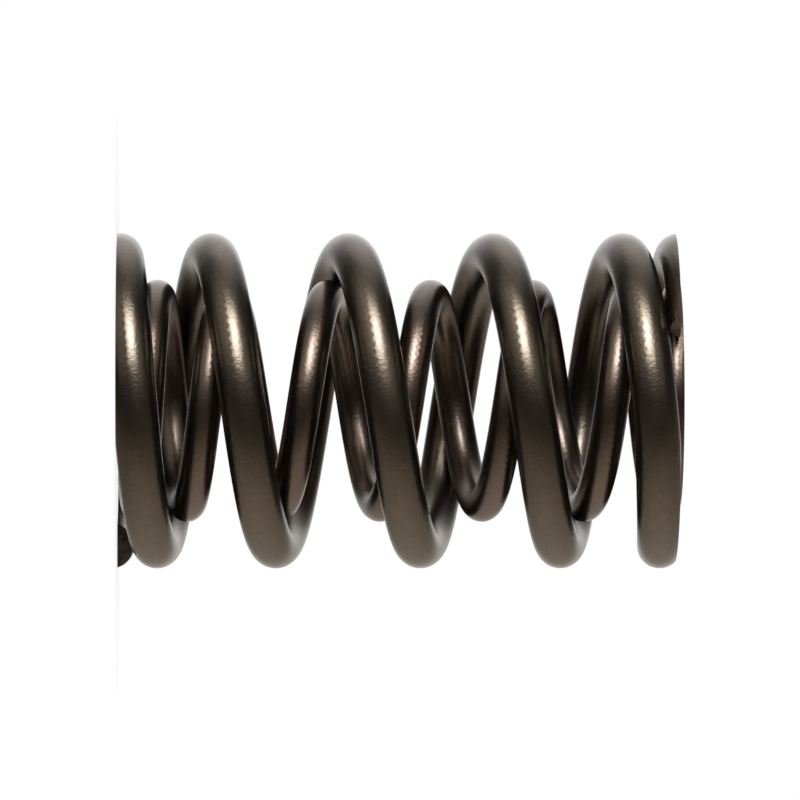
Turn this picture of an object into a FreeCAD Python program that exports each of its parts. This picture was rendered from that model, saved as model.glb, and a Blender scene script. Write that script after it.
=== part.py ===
import FreeCAD, Part
import math
import os

# Engine valve spring: two nested round-wire springs of opposite hand.
# Millimetres and degrees. The seat end stands on z = 0 and +Z runs along the axis.
# Lengths along the wire are counted in turns from the tip of the end they belong to.

# Outer spring, right-handed
outer_diameter = 32.8
outer_wire = 4.4
outer_length = 54.6
outer_turns = 5.666
outer_tip_angle = 0.0

# Inner spring, left-handed
radial_clearance = 0.15
inner_wire = 3.3
inner_proud = 0.4
inner_turns = 7.45
inner_tip_angle = -72.0

# Outer seat end: what grinding leaves of the wire, the shut turns and their pitch,
# the turn from which the full pitch holds, and how fast the pitch opens up to it
outer_seat_left = 1.87
outer_seat_shut_turns = 0.34
outer_seat_shut_pitch = 0.02
outer_seat_open_turns = 2.16
outer_seat_ease = 0.43

# Outer retainer end
outer_top_left = 1.2
outer_top_shut_turns = 0.87
outer_top_shut_pitch = 3.77
outer_top_open_turns = 2.46
outer_top_ease = 0.21

# Inner seat end
inner_seat_left = 0.67
inner_seat_shut_turns = 1.24
inner_seat_shut_pitch = 3.79
inner_seat_open_turns = 2.51
inner_seat_ease = 0.82

# Inner retainer end
inner_top_left = 1.15
inner_top_shut_turns = 0.65
inner_top_shut_pitch = 3.44
inner_top_open_turns = 1.55
inner_top_ease = 0.66

# The tip and the coil that closes over it stay apart by this much
tip_gap = 0.08
tip_softness = 0.2

# Points on the centre line for each turn, and the slab of grinding reaches past the coil
points_per_turn = 24
grind_margin = 1.0


class End:
    """How one end of a spring closes, from its tip inwards."""

    def __init__(self, left, shut_turns, shut_pitch, open_turns, ease):
        self.left = left
        self.shut_turns = shut_turns
        self.shut_pitch = shut_pitch
        self.open_turns = open_turns
        self.ease = ease

    def opened(self, turns):
        """Turns' worth of full pitch between the tip and this place."""
        span = self.open_turns - self.shut_turns
        share = min(max((turns - self.shut_turns) / span, 0.0), 1.0)
        ramp = span * share ** (self.ease + 1.0) / (self.ease + 1.0)
        return ramp + max(turns - self.open_turns, 0.0)

    def shut(self, turns):
        """Turns' worth of shut pitch between the tip and this place."""
        return turns - self.opened(turns)


class Spring:
    """A round-wire compression spring with closed and ground ends."""

    def __init__(self, radius, wire, length, turns, hand, tip_angle, seat, top):
        self.radius = radius
        self.wire = wire
        self.length = length
        self.turns = turns
        self.hand = hand
        self.tip_angle = tip_angle
        self.seat = seat
        self.top = top
        self.start = seat.left - wire / 2.0
        self.pitch = self.full_pitch()

    def full_pitch(self):
        """The pitch of the open coils that brings the far tip to its height."""
        rise = self.length - self.top.left + self.wire / 2.0 - self.start
        seat_shut = self.seat.shut(self.turns)
        top_shut = self.top.shut(self.turns)
        shut_rise = self.seat.shut_pitch * seat_shut + self.top.shut_pitch * top_shut
        return (rise - shut_rise) / (self.turns - seat_shut - top_shut)

    def free_height(self, turns):
        """Centre height of the wire before the tips are pressed clear."""
        seat_shut = self.seat.shut(turns)
        top_shut = self.top.shut(self.turns) - self.top.shut(self.turns - turns)
        shut_rise = self.seat.shut_pitch * seat_shut + self.top.shut_pitch * top_shut
        return self.start + shut_rise + self.pitch * (turns - seat_shut - top_shut)

    def pressed(self, turns):
        """How far the wire here has to give way for the coil one turn on."""
        rise = self.free_height(turns + 1.0) - self.free_height(turns)
        room = rise - self.wire - tip_gap
        return (math.hypot(room, tip_softness) - room) / 2.0

    def height(self, turns):
        """Centre height of the wire, with both tips pressed clear of the next coil."""
        low = fading(2.0 * turns / self.turns) * self.pressed(turns)
        high = fading(2.0 * (1.0 - turns / self.turns)) * self.pressed(turns - 1.0)
        return self.free_height(turns) - low + high

    def centre(self, turns):
        """Point on the centre line of the wire."""
        angle = math.radians(self.tip_angle + self.hand * 360.0 * turns)
        across = self.radius * math.cos(angle)
        along = self.radius * math.sin(angle)
        return FreeCAD.Vector(across, along, self.height(turns))


def fading(share):
    """Falls smoothly from 1 to 0 while share goes from 0 to 1."""
    inside = min(max(share, 0.0), 1.0)
    return 1.0 - inside * inside * (3.0 - 2.0 * inside)


def coiled_wire(spring):
    """Round wire swept along the whole centre line."""
    count = int(math.ceil(spring.turns * points_per_turn))
    points = [spring.centre(spring.turns * i / count) for i in range(count + 1)]
    curve = Part.BSplineCurve()
    curve.interpolate(points)
    start = curve.value(curve.FirstParameter)
    along = curve.tangent(curve.FirstParameter)[0]
    ring = Part.Wire(Part.makeCircle(spring.wire / 2.0, start, along))
    spine = Part.Wire(curve.toShape())
    return spine.makePipeShell([ring], True, True)


def grinding_slab(spring):
    """The space between the two ground planes."""
    reach = spring.radius + spring.wire / 2.0 + grind_margin
    corner = FreeCAD.Vector(-reach, -reach, 0.0)
    return Part.makeBox(2.0 * reach, 2.0 * reach, spring.length, corner)


def ground_spring(spring):
    """The coiled wire with both ends ground flat and square."""
    return coiled_wire(spring).common(grinding_slab(spring)).Solids[0]


def outer_spring():
    seat = End(outer_seat_left, outer_seat_shut_turns, outer_seat_shut_pitch,
               outer_seat_open_turns, outer_seat_ease)
    top = End(outer_top_left, outer_top_shut_turns, outer_top_shut_pitch,
              outer_top_open_turns, outer_top_ease)
    radius = (outer_diameter - outer_wire) / 2.0
    return ground_spring(Spring(radius, outer_wire, outer_length, outer_turns,
                                1.0, outer_tip_angle, seat, top))


def inner_spring():
    seat = End(inner_seat_left, inner_seat_shut_turns, inner_seat_shut_pitch,
               inner_seat_open_turns, inner_seat_ease)
    top = End(inner_top_left, inner_top_shut_turns, inner_top_shut_pitch,
              inner_top_open_turns, inner_top_ease)
    room = outer_diameter / 2.0 - outer_wire - radial_clearance
    radius = room - inner_wire / 2.0
    return ground_spring(Spring(radius, inner_wire, outer_length + inner_proud, inner_turns,
                                -1.0, inner_tip_angle, seat, top))


os.makedirs("parts", exist_ok=True)
outer_spring().exportStep("parts/outer_spring.step")
inner_spring().exportStep("parts/inner_spring.step")
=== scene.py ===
import math

import bpy
from mathutils import Matrix, Vector


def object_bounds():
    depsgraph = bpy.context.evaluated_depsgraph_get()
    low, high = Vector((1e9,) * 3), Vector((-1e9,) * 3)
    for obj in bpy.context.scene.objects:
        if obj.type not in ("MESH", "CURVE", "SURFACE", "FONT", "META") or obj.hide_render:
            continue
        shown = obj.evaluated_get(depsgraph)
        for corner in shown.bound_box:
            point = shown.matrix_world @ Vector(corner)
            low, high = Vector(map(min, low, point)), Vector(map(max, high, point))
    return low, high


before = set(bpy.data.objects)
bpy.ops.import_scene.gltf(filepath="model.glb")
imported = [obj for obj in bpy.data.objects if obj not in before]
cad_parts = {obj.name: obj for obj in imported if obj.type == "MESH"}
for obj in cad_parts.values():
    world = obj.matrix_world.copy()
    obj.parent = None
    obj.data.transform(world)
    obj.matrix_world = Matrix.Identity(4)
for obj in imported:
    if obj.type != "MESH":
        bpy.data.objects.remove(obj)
cad_low, cad_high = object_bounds()
cad_low, cad_high = list(cad_low), list(cad_high)

MM = 0.001
WHITE = (1.0, 1.0, 1.0)

# Each spring: ground length, radius of the coil's centre line, angle round the wire from its
# outermost line to the seam of the mesh, the two ends of its tempering colour, least roughness
SPRINGS = {
    "outer_spring": {
        "length": 54.6 * MM,
        "coil_radius": 14.2 * MM,
        "seam": math.radians(-18.1),
        "dark": (0.19, 0.154, 0.118),
        "light": (0.21, 0.167, 0.126),
        "smooth": 0.27,
    },
    "inner_spring": {
        "length": 55.0 * MM,
        "coil_radius": 10.2 * MM,
        "seam": math.radians(10.1),
        "dark": (0.2, 0.151, 0.12),
        "light": (0.225, 0.165, 0.129),
        "smooth": 0.29,
    },
}

# The normals on the two sides of the seam differ by this angle
SEAM_STEP = math.radians(10.2)

# Wire. Scales count noise cells to the metre, and most of a noise lies in this span.
NOISE_SPAN = (0.3, 0.7)
DRIFT_SCALE, DRIFT_DETAIL, DRIFT_ROUGHER = 160.0, 3.0, 0.06
MOTTLE_SCALE, MOTTLE_RANGE = 1900.0, (0.93, 1.06)
DIMPLE_SCALE = 3300.0
MARK_SCALE, MARK_SQUEEZE, MARK_SHARE = 9000.0, 0.3, 0.9
RELIEF_STRENGTH, RELIEF_DEPTH = 0.4, 0.03 * MM
COAT = {"Coat Weight": 0.2, "Coat Roughness": 0.25, "Coat IOR": 1.5}

# Faces: scale, detail and roughness of their noise, the two ends of their colour and roughness
# with the span of noise that each follows, share of metal, and strength and depth of the bump
GROUND_FACE = {
    "noise": (700.0, 4.0, 0.65),
    "colours": ((0.3, 0.28, 0.26), (0.66, 0.63, 0.6)), "colour_span": (0.0, 1.0),
    "roughness": (0.3, 0.46), "roughness_span": (0.2, 0.8),
    "metallic": 0.65,
    "bump": (0.25, 0.03 * MM),
}
SHEARED_FACE = {
    "noise": (1300.0, 4.0, 0.7),
    "colours": ((0.045, 0.037, 0.031), (0.17, 0.12, 0.092)), "colour_span": (0.35, 0.65),
    "roughness": (0.5, 0.65), "roughness_span": (0.3, 0.7),
    "metallic": 0.4,
    "bump": (0.6, 0.05 * MM),
}
# Where the ground faces lie: how level, how near the end, and how their lines run
LEVEL_SPAN = (0.985, 0.995)
END_DEPTH = 0.03 * MM
LINE_ANGLE, LINE_STRETCH = math.radians(28.0), 22.0
# Where the sheared tips lie: how straight they look along the wire
TIP_FACING = 0.93

# Floor: radius, where its fading starts and ends, its colour and the share of plain white in it
FLOOR_RADIUS = 80.0 * MM
FADE_SPAN = (16.5 * MM, 35.0 * MM)
PAPER, FLOOR_WHITE = (0.86, 0.86, 0.86), 0.85

# Lamps: direction in degrees up the picture and to its right, distance, width along the
# spring, height across it, watts and colour. They face the middle of the spring.
MIDDLE = Vector((0.0, 0.0, 27.5 * MM))
LAMPS = {
    "key": (47.5, 0.8, 0.6, 0.44, 0.4, 2.4, (1.0, 0.98, 0.95)),
    "key_core": (46.0, 0.5, 0.58, 0.2, 0.22, 0.85, (0.88, 1.03, 1.19)),
}

# World: light on rough surfaces, the dark room that polished metal sees, and the share of
# the room that is left in a second reflection
AMBIENT = 0.75
DARK_ROOM = 0.035
SECOND_REFLECTION = 0.12
# Glows in that room: centre, cosine of the angle to the edge, strength and colour
GLOWS = (
    ((-0.08, 0.985, 0.05), 0.82, 0.9, WHITE),
    ((-0.56, 0.82, 0.0), 0.72, 0.68, (0.97, 0.99, 1.03)),
    ((-0.88, 0.42, 0.08), 0.78, 0.42, (0.97, 1.0, 1.05)),
    ((-0.7, -0.4, -0.6), 0.72, 0.38, (1.0, 0.93, 0.84)),
    ((-0.54, -0.58, 0.6), 0.86, 0.3, (1.0, 0.96, 0.88)),
    ((0.95, 0.3, 0.06), -0.1, 0.46, (1.0, 0.9, 0.76)),
    ((0.95, 0.3, 0.0), 0.75, 0.13, (0.45, 0.6, 1.0)),
)

# Camera: what was measured in the photograph, in its pixels: the seat plane, the height that
# the lens is level with, and the spring's axis
FRAME_PIXELS = 800.0
PIXELS_PER_MM = 10.213
FOOT_PIXEL, LEVEL_PIXEL, AXIS_PIXEL = 117.4, 236.0, 400.8
DISTANCE = 900.0 * MM
SENSOR_WIDTH = 36.0
CLIP_START, CLIP_END = 0.01, 20.0


class Tree:
    """Short names for building a node tree. Values are plain or outputs of other nodes."""

    def __init__(self, tree):
        self.tree = tree
        self.nodes = tree.nodes
        self.nodes.clear()

    def add(self, kind, **settings):
        node = self.nodes.new(kind)
        for name, value in settings.items():
            setattr(node, name, value)
        return node

    def put(self, socket, value):
        if hasattr(value, "is_output"):
            self.tree.links.new(value, socket)
        else:
            socket.default_value = value

    def put_all(self, node, values):
        """Values by the names or numbers of the node's inputs."""
        for key, value in values.items():
            self.put(node.inputs[key], value)
        return node

    def math(self, operation, a, b=0.0):
        node = self.add("ShaderNodeMath", operation=operation)
        return self.put_all(node, {0: a, 1: b}).outputs[0]

    def vector(self, operation, *values, scale=None):
        node = self.add("ShaderNodeVectorMath", operation=operation)
        self.put_all(node, dict(enumerate(values)))
        if scale is not None:
            self.put(node.inputs["Scale"], scale)
        is_number = operation in ("DOT_PRODUCT", "LENGTH")
        return node.outputs["Value" if is_number else "Vector"]

    def split(self, vector):
        return self.put_all(self.add("ShaderNodeSeparateXYZ"), {0: vector}).outputs

    def noise(self, vector, scale, detail=2.0, rough=0.5):
        node = self.add("ShaderNodeTexNoise")
        values = {"Vector": vector, "Scale": scale, "Detail": detail, "Roughness": rough}
        return self.put_all(node, values).outputs["Fac"]

    def remap(self, value, low, high, new_low, new_high, smooth=False):
        node = self.add("ShaderNodeMapRange")
        node.interpolation_type = "SMOOTHSTEP" if smooth else "LINEAR"
        values = {"Value": value, "From Min": low, "From Max": high,
                  "To Min": new_low, "To Max": new_high}
        return self.put_all(node, values).outputs["Result"]

    def mix_colour(self, factor, a, b):
        node = self.add("ShaderNodeMix", data_type="RGBA")
        a, b = (colour if hasattr(colour, "is_output") else (*colour, 1.0) for colour in (a, b))
        return self.put_all(node, {0: factor, 6: a, 7: b}).outputs[2]

    def mix_surface(self, factor, a, b):
        node = self.add("ShaderNodeMixShader")
        return self.put_all(node, {0: factor, 1: a, 2: b}).outputs[0]

    def metal(self, colour, roughness, normal, metallic=1.0, coat=None):
        values = {"Base Color": colour, "Metallic": metallic, "Roughness": roughness,
                  "Normal": normal, **(coat or {})}
        return self.put_all(self.add("ShaderNodeBsdfPrincipled"), values).outputs[0]

    def bump(self, height, strength, depth, normal=None):
        values = {"Strength": strength, "Distance": depth, "Height": height}
        if normal is not None:
            values["Normal"] = normal
        return self.put_all(self.add("ShaderNodeBump"), values).outputs["Normal"]

    def object_place(self):
        return self.add("ShaderNodeTexCoord").outputs["Object"]

    def either(self, *values):
        """The largest of values between 0 and 1."""
        largest = values[-1]
        for value in reversed(values[:-1]):
            largest = self.math("MAXIMUM", value, largest)
        return largest

    def finish(self, kind, surface):
        self.put(self.add(kind).inputs["Surface"], surface)


def new_material(name):
    material = bpy.data.materials.new(name)
    material.use_nodes = True
    return material, Tree(material.node_tree)


def from_axis(t, place):
    """Level unit vector from the spring's axis to this place."""
    return t.vector("NORMALIZE", t.vector("MULTIPLY", place, (1.0, 1.0, 0.0)))


def across_wire(t, place, coil_radius):
    """Place with its radius taken out and its height squeezed: noise becomes cross marks."""
    rise = t.vector("MULTIPLY", place, (0.0, 0.0, MARK_SQUEEZE))
    return t.vector("MULTIPLY_ADD", from_axis(t, place), (coil_radius,) * 3, rise)


def over_seam(t, normal, place, seam):
    """Normal of the round wire. Beside the seam that the sweep leaves along the mesh, its
    normals lean away from the seam by half a step at most, and this turns them back."""
    radial = from_axis(t, place)
    upward = t.split(normal)["Z"]
    outward = t.vector("DOT_PRODUCT", normal, radial)
    away = t.math("SUBTRACT", t.math("ARCTAN2", upward, outward), seam)
    room = t.math("SUBTRACT", SEAM_STEP, t.math("ABSOLUTE", away))
    push = t.math("MINIMUM", t.math("MAXIMUM", room, 0.0), SEAM_STEP / 2.0)
    turn = t.math("MULTIPLY", push, t.math("SIGN", away))
    inward = t.vector("SCALE", radial, scale=t.math("MULTIPLY", turn, upward))
    lift = t.math("MULTIPLY", turn, t.math("MULTIPLY", outward, -1.0))
    down = t.put_all(t.add("ShaderNodeCombineXYZ"), {"Z": lift}).outputs[0]
    shift = t.vector("ADD", inward, down)
    return t.vector("NORMALIZE", t.vector("ADD", normal, shift))


def wire_surface(t, place, normal, spring):
    """Tempered, shot-peened wire: the colour drifts over a few millimetres, with a mottle."""
    drift = t.noise(place, DRIFT_SCALE, DRIFT_DETAIL)
    shade = t.remap(drift, *NOISE_SPAN, 0.0, 1.0)
    mottle = t.remap(t.noise(place, MOTTLE_SCALE), *NOISE_SPAN, *MOTTLE_RANGE)
    colour = t.mix_colour(shade, spring["dark"], spring["light"])
    colour = t.vector("SCALE", colour, scale=mottle)
    smooth = spring["smooth"]
    roughness = t.remap(drift, *NOISE_SPAN, smooth, smooth + DRIFT_ROUGHER)

    dimples = t.add("ShaderNodeTexVoronoi", feature="SMOOTH_F1")
    t.put_all(dimples, {"Vector": place, "Scale": DIMPLE_SCALE})
    marks = t.noise(across_wire(t, place, spring["coil_radius"]), MARK_SCALE)
    relief = t.math("ADD", dimples.outputs["Distance"], t.math("MULTIPLY", marks, MARK_SHARE))
    round_normal = over_seam(t, normal, place, spring["seam"])
    rough_normal = t.bump(relief, RELIEF_STRENGTH, RELIEF_DEPTH, round_normal)
    return t.metal(colour, roughness, rough_normal, coat={**COAT, "Coat Normal": round_normal})


def noisy_face(t, place, face):
    """Flat face whose colour, roughness and relief follow one noise."""
    noise = t.noise(place, *face["noise"])
    shade = t.remap(noise, *face["colour_span"], 0.0, 1.0)
    roughness = t.remap(noise, *face["roughness_span"], *face["roughness"])
    return t.metal(t.mix_colour(shade, *face["colours"]), roughness,
                   t.bump(noise, *face["bump"]), face["metallic"])


def ground_ends(t, place, flat_normal, length):
    """Bright ground faces with straight lines: where the surface is level, at either end."""
    level = t.math("ABSOLUTE", t.split(flat_normal)["Z"])
    from_middle = t.math("ABSOLUTE", t.math("SUBTRACT", t.split(place)["Z"], length / 2.0))
    at_end = t.math("GREATER_THAN", from_middle, length / 2.0 - END_DEPTH)
    share = t.math("MULTIPLY", t.remap(level, *LEVEL_SPAN, 0.0, 1.0), at_end)
    lines = t.put_all(t.add("ShaderNodeMapping"), {
        "Vector": place, "Rotation": (0.0, 0.0, LINE_ANGLE), "Scale": (1.0, LINE_STRETCH, 1.0)})
    return share, noisy_face(t, lines.outputs[0], GROUND_FACE)


def sheared_tips(t, place, flat_normal):
    """Dark tips: where a flat face looks along the wire."""
    along = t.vector("NORMALIZE", t.vector("CROSS_PRODUCT", (0.0, 0.0, 1.0), place))
    facing = t.math("ABSOLUTE", t.vector("DOT_PRODUCT", along, flat_normal))
    share = t.math("GREATER_THAN", facing, TIP_FACING)
    return share, noisy_face(t, place, SHEARED_FACE)


def spring_steel(name, spring):
    """Dark tempered wire with bright ground ends and dark sheared tips."""
    material, t = new_material(name)
    place = t.object_place()
    geometry = t.add("ShaderNodeNewGeometry")
    flat_normal = geometry.outputs["True Normal"]
    surface = wire_surface(t, place, geometry.outputs["Normal"], spring)
    for share, face in (ground_ends(t, place, flat_normal, spring["length"]),
                        sheared_tips(t, place, flat_normal)):
        surface = t.mix_surface(share, surface, face)
    t.finish("ShaderNodeOutputMaterial", surface)
    return material


def floor_finish():
    """Pale floor that keeps a soft shadow and fades into the white background."""
    material, t = new_material("floor_finish")
    path = t.add("ShaderNodeLightPath").outputs
    seen = t.either(path["Is Camera Ray"], path["Is Glossy Ray"], path["Is Transmission Ray"])
    paper = t.put_all(t.add("ShaderNodeBsdfDiffuse"), {"Color": (*PAPER, 1.0)}).outputs[0]
    white = t.add("ShaderNodeEmission").outputs[0]
    lifted = t.mix_surface(t.math("MULTIPLY", seen, FLOOR_WHITE), paper, white)
    reach = t.vector("LENGTH", t.object_place())
    fade = t.remap(reach, *FADE_SPAN, 0.0, 1.0, smooth=True)
    clear = t.add("ShaderNodeBsdfTransparent").outputs[0]
    t.finish("ShaderNodeOutputMaterial", t.mix_surface(fade, lifted, clear))
    return material


def disc(name, radius, z, segments=96):
    corners = []
    for i in range(segments):
        angle = 2 * math.pi * i / segments
        corners.append((radius * math.cos(angle), radius * math.sin(angle), z))
    mesh = bpy.data.meshes.new(name)
    mesh.from_pydata(corners, [], [list(range(segments))])
    obj = bpy.data.objects.new(name, mesh)
    bpy.context.collection.objects.link(obj)
    return obj


def picture_direction(up, side):
    """Direction from the spring: degrees up the picture from the camera, then to its right."""
    up, side = math.radians(up), math.radians(side)
    level = math.cos(side)
    return Vector((-math.sin(up) * level, -math.cos(up) * level, math.sin(side)))


def softbox(name, up, side, distance, width, height, watts, colour):
    """Rectangular lamp that faces the middle of the spring."""
    lamp = bpy.data.lights.new(name, "AREA")
    lamp.shape = "RECTANGLE"
    lamp.size, lamp.size_y = width, height
    lamp.energy, lamp.color = watts, colour
    obj = bpy.data.objects.new(name, lamp)
    bpy.context.collection.objects.link(obj)
    toward = picture_direction(up, side).normalized()
    along = Vector((0.0, 0.0, 1.0))
    along = (along - along.dot(toward) * toward).normalized()
    turn = Matrix((along, toward.cross(along), toward)).transposed()
    obj.matrix_world = Matrix.Translation(MIDDLE + toward * distance) @ turn.to_4x4()


def studio():
    """White for the camera. Polished metal sees a dark room with glows, and in a second
    reflection only a share of it."""
    world = bpy.data.worlds.new("studio")
    bpy.context.scene.world = world
    world.use_nodes = True
    world.cycles.sampling_method = "NONE"
    t = Tree(world.node_tree)
    path = t.add("ShaderNodeLightPath").outputs
    direction = t.add("ShaderNodeTexCoord").outputs["Generated"]
    room = t.vector("SCALE", WHITE, scale=DARK_ROOM)
    for centre, edge, strength, colour in GLOWS:
        nearness = t.vector("DOT_PRODUCT", direction, centre)
        glow = t.remap(nearness, edge, 1.0, 0.0, strength, smooth=True)
        room = t.vector("ADD", room, t.vector("SCALE", colour, scale=glow))
    left = t.remap(path["Glossy Depth"], 1.0, 2.0, 1.0, SECOND_REFLECTION)
    room = t.vector("SCALE", room, scale=left)

    polished = t.either(path["Is Glossy Ray"], path["Is Transmission Ray"])
    light = t.mix_colour(polished, (AMBIENT,) * 3, room)
    light = t.mix_colour(path["Is Camera Ray"], light, WHITE)
    background = t.add("ShaderNodeBackground")
    t.put_all(background, {"Color": light, "Strength": 1.0})
    t.finish("ShaderNodeOutputWorld", background.outputs[0])


def photo_camera():
    """The photograph's long lens. The picture's up is -X and its right is +Z."""
    pixel = MM / PIXELS_PER_MM
    camera_height = (LEVEL_PIXEL - FOOT_PIXEL) * pixel
    aim_height = (FRAME_PIXELS / 2 - FOOT_PIXEL) * pixel
    offset = (FRAME_PIXELS / 2 - AXIS_PIXEL) * pixel
    tilt = math.atan2(aim_height - camera_height, DISTANCE)
    forward = Vector((0.0, math.cos(tilt), math.sin(tilt)))
    picture_up = Vector((-1.0, 0.0, 0.0))
    turn = Matrix((forward.cross(picture_up), picture_up, -forward)).transposed()
    lens = bpy.data.cameras.new("camera")
    lens.sensor_width = SENSOR_WIDTH
    lens.lens = SENSOR_WIDTH * (DISTANCE / math.cos(tilt)) / (FRAME_PIXELS * pixel)
    lens.clip_start, lens.clip_end = CLIP_START, CLIP_END
    camera = bpy.data.objects.new("camera", lens)
    bpy.context.collection.objects.link(camera)
    place = Matrix.Translation((offset, -DISTANCE, camera_height))
    camera.matrix_world = place @ turn.to_4x4()
    bpy.context.scene.camera = camera


for node_name, spring in SPRINGS.items():
    finish = spring_steel(node_name + "_finish", spring)
    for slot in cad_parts[node_name].material_slots:
        slot.material = finish

floor = disc("floor", FLOOR_RADIUS, 0.0)
floor.data.materials.append(floor_finish())
floor.visible_glossy = False

for lamp_name, settings in LAMPS.items():
    softbox(lamp_name, *settings)
studio()
photo_camera()
bpy.context.scene.view_settings.view_transform = "Standard"
